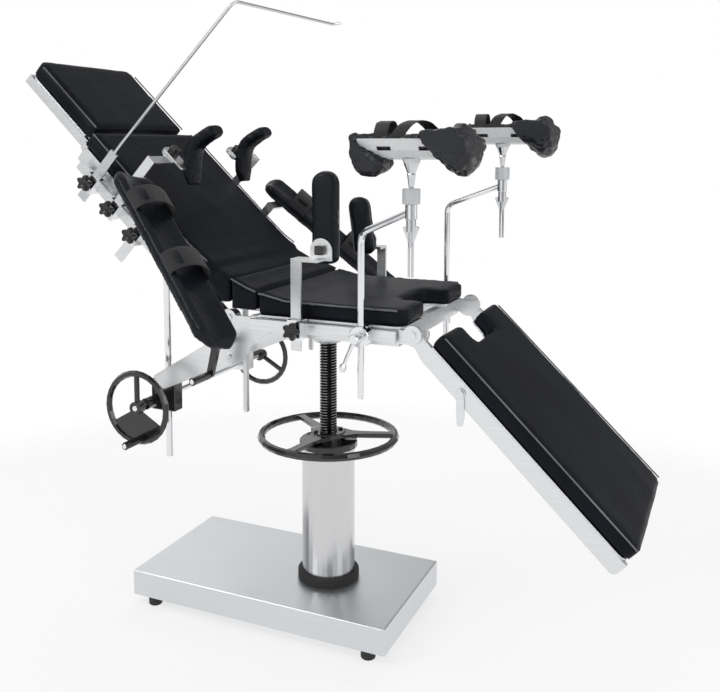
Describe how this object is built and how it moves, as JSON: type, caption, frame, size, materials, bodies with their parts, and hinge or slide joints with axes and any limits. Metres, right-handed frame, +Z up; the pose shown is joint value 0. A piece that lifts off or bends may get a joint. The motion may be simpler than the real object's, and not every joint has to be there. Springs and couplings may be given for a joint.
{
  "type": "operating table",
  "caption": "Manual operating table on a pedestal base: tilting back, head and leg sections, kidney bridge and rail-clamped arm, shoulder, side and knee supports.",
  "frame": {"origin": "on the floor under the lifting column's axis, close to the middle of the outline", "axes": "+X toward the foot end, +Y toward the far side seen in the picture, +Z up"},
  "size_m": [1.7851, 1.1996, 1.7403],
  "materials": {
    "arm_board_far": "black padded",
    "arm_board_near": "black padded",
    "arm_bracket_far": "brushed",
    "arm_bracket_near": "brushed",
    "arm_clamp_far": "polished",
    "arm_clamp_near": "polished",
    "arm_knob_near": "gloss black",
    "back_frame": "brushed",
    "back_pad": "black padded",
    "back_rod": "polished",
    "base_chassis": "brushed",
    "base_cover": "brushed",
    "bracket_far": "brushed",
    "bracket_near": "brushed",
    "bridge_crank": "gloss black",
    "bridge_frame": "brushed",
    "bridge_pad": "black padded",
    "column_bush": "brushed",
    "column_collar": "black",
    "column_tube": "polished",
    "gearbox_near": "gloss black",
    "head_frame": "brushed",
    "head_pad": "black padded",
    "leg_clamp_far": "polished",
    "leg_clamp_near": "polished",
    "leg_frame": "brushed",
    "leg_latch_far": "brushed",
    "leg_latch_near": "brushed",
    "leg_lever_near": "polished",
    "leg_pad": "black padded",
    "leg_post_far": "polished",
    "leg_post_near": "polished",
    "leg_trough_far": "white",
    "leg_trough_near": "white",
    "leg_trough_pad_far": "black padded",
    "leg_trough_pad_near": "black padded",
    "lift_handwheel": "gloss black",
    "lift_screw": "oiled dark thread",
    "screen_clamp": "polished",
    "screen_knob": "gloss black",
    "screen_rod": "polished",
    "seat_frame": "brushed",
    "seat_pad": "black padded",
    "shoulder_bar_far": "brushed",
    "shoulder_bar_near": "brushed",
    "shoulder_clamp_far": "polished",
    "shoulder_clamp_near": "polished",
    "shoulder_knob_near": "gloss black",
    "shoulder_pad_far": "black padded",
    "shoulder_pad_near": "black padded",
    "side_clamp_far": "polished",
    "side_clamp_near": "polished",
    "side_knob_near": "gloss black",
    "side_pad_far": "black padded",
    "side_pad_near": "black padded",
    "side_post_far": "brushed",
    "side_post_near": "brushed",
    "side_wheel_far": "gloss black",
    "side_wheel_near": "gloss black",
    "wheel_shaft": "polished"
  },
  "bodies": {
    "base": {"base_cover": "base_cover", "base_chassis": "base_chassis", "column_tube": "column_tube", "column_collar": "column_collar", "column_bush": "column_bush"},
    "handwheel": {"lift_handwheel": "lift_handwheel"},
    "table": {"lift_screw": "lift_screw", "seat_frame": "seat_frame", "seat_pad": "seat_pad", "bracket_near": "bracket_near", "bracket_far": "bracket_far", "gearbox_near": "gearbox_near"},
    "bridge": {"bridge_frame": "bridge_frame", "bridge_pad": "bridge_pad"},
    "crank": {"bridge_crank": "bridge_crank"},
    "push_rod": {"back_rod": "back_rod"},
    "side_wheels": {"wheel_shaft": "wheel_shaft", "side_wheel_near": "side_wheel_near", "side_wheel_far": "side_wheel_far"},
    "back": {"back_frame": "back_frame", "back_pad": "back_pad"},
    "head": {"head_frame": "head_frame", "head_pad": "head_pad"},
    "leg": {"leg_frame": "leg_frame", "leg_pad": "leg_pad"},
    "latch_near": {"leg_latch_near": "leg_latch_near"},
    "latch_far": {"leg_latch_far": "leg_latch_far"},
    "screen_slider": {"screen_clamp": "screen_clamp"},
    "screen_bar": {"screen_rod": "screen_rod"},
    "screen_screw": {"screen_knob": "screen_knob"},
    "shoulder_screw_near": {"shoulder_knob_near": "shoulder_knob_near"},
    "arm_screw_near": {"arm_knob_near": "arm_knob_near"},
    "side_screw_near": {"side_knob_near": "side_knob_near"},
    "leg_screw_near": {"leg_lever_near": "leg_lever_near"},
    "shoulder_slider_near": {"shoulder_clamp_near": "shoulder_clamp_near"},
    "shoulder_post_near": {"shoulder_bar_near": "shoulder_bar_near"},
    "shoulder_rest_near": {"shoulder_pad_near": "shoulder_pad_near"},
    "arm_slider_near": {"arm_clamp_near": "arm_clamp_near"},
    "arm_post_near": {"arm_bracket_near": "arm_bracket_near"},
    "arm_rest_near": {"arm_board_near": "arm_board_near"},
    "side_slider_near": {"side_clamp_near": "side_clamp_near"},
    "side_bar_near": {"side_post_near": "side_post_near"},
    "side_rest_near": {"side_pad_near": "side_pad_near"},
    "leg_slider_near": {"leg_clamp_near": "leg_clamp_near"},
    "leg_bar_near": {"leg_post_near": "leg_post_near"},
    "leg_rest_near": {"leg_trough_near": "leg_trough_near", "leg_trough_pad_near": "leg_trough_pad_near"},
    "shoulder_slider_far": {"shoulder_clamp_far": "shoulder_clamp_far"},
    "shoulder_post_far": {"shoulder_bar_far": "shoulder_bar_far"},
    "shoulder_rest_far": {"shoulder_pad_far": "shoulder_pad_far"},
    "arm_slider_far": {"arm_clamp_far": "arm_clamp_far"},
    "arm_post_far": {"arm_bracket_far": "arm_bracket_far"},
    "arm_rest_far": {"arm_board_far": "arm_board_far"},
    "side_slider_far": {"side_clamp_far": "side_clamp_far"},
    "side_bar_far": {"side_post_far": "side_post_far"},
    "side_rest_far": {"side_pad_far": "side_pad_far"},
    "leg_slider_far": {"leg_clamp_far": "leg_clamp_far"},
    "leg_bar_far": {"leg_post_far": "leg_post_far"},
    "leg_rest_far": {"leg_trough_far": "leg_trough_far", "leg_trough_pad_far": "leg_trough_pad_far"}
  },
  "joints": [
    {"name": "lift", "type": "slide", "parent": "base", "child": "table", "axis": [0, 0, 1], "range_m": [-0.18, 0.05]},
    {"name": "handwheel_turn", "type": "hinge", "parent": "base", "child": "handwheel", "pos_m": [0, 0, 0.523], "axis": [0, 0, 1], "continuous": true},
    {"name": "bridge_lift", "type": "slide", "parent": "table", "child": "bridge", "axis": [0, 0, 1], "range_m": [0, 0.09]},
    {"name": "crank_turn", "type": "hinge", "parent": "table", "child": "crank", "pos_m": [-0.1725, 0, 0.832], "axis": [0, 1, 0], "range_deg": [-420, 30]},
    {"name": "back_tilt", "type": "hinge", "parent": "table", "child": "back", "pos_m": [-0.175, 0, 0.895], "axis": [0, 1, 0], "range_deg": [-43.3, 15]},
    {"name": "push_rod_slide", "type": "slide", "parent": "table", "child": "push_rod", "axis": [0, 0, 1], "range_m": [-0.22, 0.08]},
    {"name": "side_wheel_turn", "type": "hinge", "parent": "table", "child": "side_wheels", "pos_m": [-0.414, 0, 0.644], "axis": [0, 1, 0], "continuous": true},
    {"name": "head_tilt", "type": "hinge", "parent": "back", "child": "head", "pos_m": [-0.66801, 0, 1.34585], "axis": [0, 1, 0], "range_deg": [-45, 8]},
    {"name": "leg_tilt", "type": "hinge", "parent": "table", "child": "leg", "pos_m": [0.345, 0, 0.894], "axis": [0, 1, 0], "range_deg": [-44.3, 45]},
    {"name": "latch_turn_near", "type": "hinge", "parent": "leg", "child": "latch_near", "pos_m": [0.46696, -0.2483, 0.76297], "axis": [0, 1, 0], "range_deg": [-30, 30]},
    {"name": "latch_turn_far", "type": "hinge", "parent": "leg", "child": "latch_far", "pos_m": [0.46696, 0.2483, 0.76297], "axis": [0, 1, 0], "range_deg": [-30, 30]},
    {"name": "screen_station", "type": "slide", "parent": "back", "child": "screen_slider", "axis": [-0.7278, 0, 0.6858], "range_m": [-0.012, 0.012]},
    {"name": "screen_height", "type": "slide", "parent": "screen_slider", "child": "screen_bar", "axis": [0.6858, 0, 0.7278], "range_m": [-0.04, 0.05]},
    {"name": "screen_screw_turn", "type": "hinge", "parent": "screen_slider", "child": "screen_screw", "pos_m": [-0.59439, -0.3, 1.249], "axis": [0, 1, 0], "continuous": true},
    {"name": "shoulder_station_near", "type": "slide", "parent": "back", "child": "shoulder_slider_near", "axis": [-0.7278, 0, 0.6858], "range_m": [-0.012, 0.012]},
    {"name": "shoulder_height_near", "type": "slide", "parent": "shoulder_slider_near", "child": "shoulder_post_near", "axis": [0.6858, 0, 0.7278], "range_m": [-0.03, 0.02]},
    {"name": "shoulder_swivel_near", "type": "hinge", "parent": "shoulder_post_near", "child": "shoulder_rest_near", "pos_m": [-0.40529, -0.17, 1.32719], "axis": [0.6858, 0, 0.7278], "range_deg": [-25, 25]},
    {"name": "arm_station_near", "type": "slide", "parent": "back", "child": "arm_slider_near", "axis": [-0.7278, 0, 0.6858], "range_m": [-0.012, 0.012]},
    {"name": "arm_height_near", "type": "slide", "parent": "arm_slider_near", "child": "arm_post_near", "axis": [0.6858, 0, 0.7278], "range_m": [-0.04, 0.03]},
    {"name": "arm_swing_near", "type": "hinge", "parent": "arm_post_near", "child": "arm_rest_near", "pos_m": [-0.35476, -0.394, 1.2073], "axis": [0.6858, 0, 0.7278], "range_deg": [-60, 19.5]},
    {"name": "side_station_near", "type": "slide", "parent": "table", "child": "side_slider_near", "axis": [1, 0, 0], "range_m": [-0.012, 0.012]},
    {"name": "side_height_near", "type": "slide", "parent": "side_slider_near", "child": "side_bar_near", "axis": [0, 0, 1], "range_m": [-0.04, 0.03]},
    {"name": "side_turn_near", "type": "hinge", "parent": "side_bar_near", "child": "side_rest_near", "pos_m": [0.095, -0.2402, 1.09], "axis": [0, 1, 0], "range_deg": [-60, 60]},
    {"name": "leg_station_near", "type": "slide", "parent": "table", "child": "leg_slider_near", "axis": [1, 0, 0], "range_m": [-0.012, 0.012]},
    {"name": "leg_post_turn_near", "type": "hinge", "parent": "leg_slider_near", "child": "leg_bar_near", "pos_m": [0.224, -0.287, 0.889], "axis": [0, 0, 1], "range_deg": [-40, 40]},
    {"name": "leg_trough_turn_near", "type": "hinge", "parent": "leg_bar_near", "child": "leg_rest_near", "pos_m": [0.37588, -0.35147, 1.201], "axis": [0, 0, 1], "range_deg": [-45, 45]},
    {"name": "shoulder_station_far", "type": "slide", "parent": "back", "child": "shoulder_slider_far", "axis": [-0.7278, 0, 0.6858], "range_m": [-0.012, 0.012]},
    {"name": "shoulder_height_far", "type": "slide", "parent": "shoulder_slider_far", "child": "shoulder_post_far", "axis": [0.6858, 0, 0.7278], "range_m": [-0.03, 0.02]},
    {"name": "shoulder_swivel_far", "type": "hinge", "parent": "shoulder_post_far", "child": "shoulder_rest_far", "pos_m": [-0.40529, 0.17, 1.32719], "axis": [0.6858, 0, 0.7278], "range_deg": [-25, 25]},
    {"name": "arm_station_far", "type": "slide", "parent": "back", "child": "arm_slider_far", "axis": [-0.7278, 0, 0.6858], "range_m": [-0.012, 0.012]},
    {"name": "arm_height_far", "type": "slide", "parent": "arm_slider_far", "child": "arm_post_far", "axis": [0.6858, 0, 0.7278], "range_m": [-0.04, 0.03]},
    {"name": "arm_swing_far", "type": "hinge", "parent": "arm_post_far", "child": "arm_rest_far", "pos_m": [-0.33778, 0.385, 1.15969], "axis": [0.6858, 0, 0.7278], "range_deg": [-18, 60]},
    {"name": "side_station_far", "type": "slide", "parent": "table", "child": "side_slider_far", "axis": [1, 0, 0], "range_m": [-0.012, 0.012]},
    {"name": "side_height_far", "type": "slide", "parent": "side_slider_far", "child": "side_bar_far", "axis": [0, 0, 1], "range_m": [-0.04, 0.03]},
    {"name": "side_turn_far", "type": "hinge", "parent": "side_bar_far", "child": "side_rest_far", "pos_m": [0.018, 0.2402, 1.066], "axis": [0, 1, 0], "range_deg": [-60, 60]},
    {"name": "leg_station_far", "type": "slide", "parent": "table", "child": "leg_slider_far", "axis": [1, 0, 0], "range_m": [-0.012, 0.012]},
    {"name": "leg_post_turn_far", "type": "hinge", "parent": "leg_slider_far", "child": "leg_bar_far", "pos_m": [0.258, 0.287, 0.889], "axis": [0, 0, 1], "range_deg": [-40, 40]},
    {"name": "leg_trough_turn_far", "type": "hinge", "parent": "leg_bar_far", "child": "leg_rest_far", "pos_m": [0.423, 0.287, 1.235], "axis": [0, 0, 1], "range_deg": [-45, 45]},
    {"name": "shoulder_screw_turn_near", "type": "hinge", "parent": "shoulder_slider_near", "child": "shoulder_screw_near", "pos_m": [-0.52089, -0.3, 1.17973], "axis": [0, 1, 0], "continuous": true},
    {"name": "arm_screw_turn_near", "type": "hinge", "parent": "arm_slider_near", "child": "arm_screw_near", "pos_m": [-0.44666, -0.3, 1.10977], "axis": [0, 1, 0], "continuous": true},
    {"name": "side_screw_turn_near", "type": "hinge", "parent": "side_slider_near", "child": "side_screw_near", "pos_m": [0.044, -0.3, 0.889], "axis": [0, 1, 0], "continuous": true},
    {"name": "leg_screw_turn_near", "type": "hinge", "parent": "leg_slider_near", "child": "leg_screw_near", "pos_m": [0.224, -0.3034, 0.889], "axis": [0, 1, 0], "range_deg": [-30, 45]}
  ],
  "couplings": [
    {"joint": "handwheel_turn", "follows": "lift", "rad_per_m": 261.8},
    {"joint": "crank_turn", "follows": "bridge_lift", "rad_per_m": -76.923},
    {"joint": "push_rod_slide", "follows": "back_tilt", "m_per_rad": 0.285},
    {"joint": "side_wheel_turn", "follows": "back_tilt", "ratio": -17.812}
  ]
}
